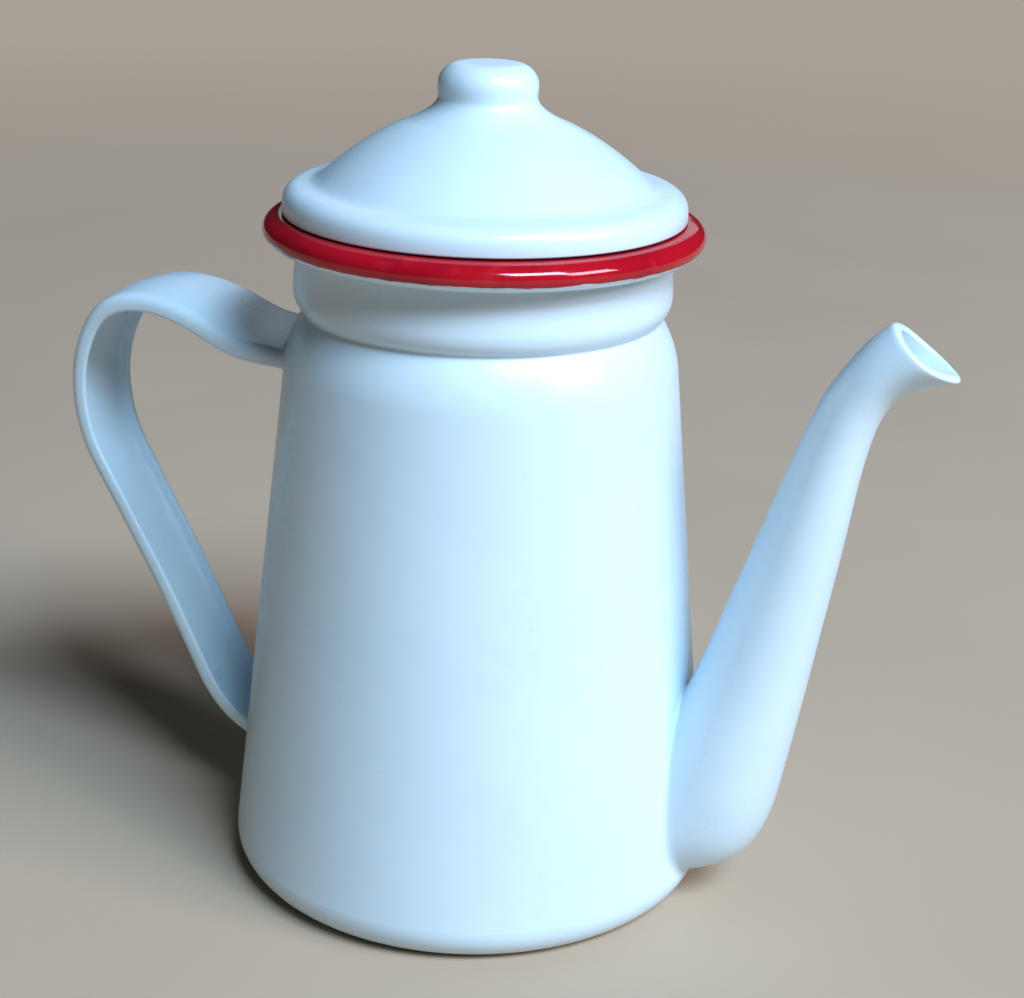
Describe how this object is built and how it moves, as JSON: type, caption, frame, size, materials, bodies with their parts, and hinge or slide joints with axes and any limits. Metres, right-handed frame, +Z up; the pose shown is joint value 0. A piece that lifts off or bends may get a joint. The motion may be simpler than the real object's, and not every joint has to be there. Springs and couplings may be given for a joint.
{
  "type": "coffee pot",
  "caption": "Enamelled steel coffee pot: cone body with a grooved neck and rolled red rim, long bent spout, strap handle and a domed lid that lifts off.",
  "frame": {"origin": "on the pot's own axis, on the flat face that it stands on", "axes": "+Z up along the pot's axis, +X towards the spout, the handle along -X"},
  "size_m": [0.229, 0.1252, 0.2097],
  "materials": {
    "white_enamel": "glossy white vitreous enamel with a faint cool tint on sheet steel",
    "red_enamel": "glossy crimson enamel on the rolled rim, its lower edge slightly uneven"
  },
  "bodies": {
    "pot": {"base_pan": "white_enamel", "body_wall": "white_enamel", "rolled_rim": "red_enamel", "spout_left_half": "white_enamel", "spout_right_half": "white_enamel", "handle_strap": "white_enamel"},
    "lid": {"lid_shell": "white_enamel", "lid_collar": "white_enamel", "lid_knob": "white_enamel"}
  },
  "joints": [
    {"name": "lid_lift", "type": "slide", "parent": "pot", "child": "lid", "axis": [0, 0, 1], "range_m": [0, 0.07]}
  ]
}
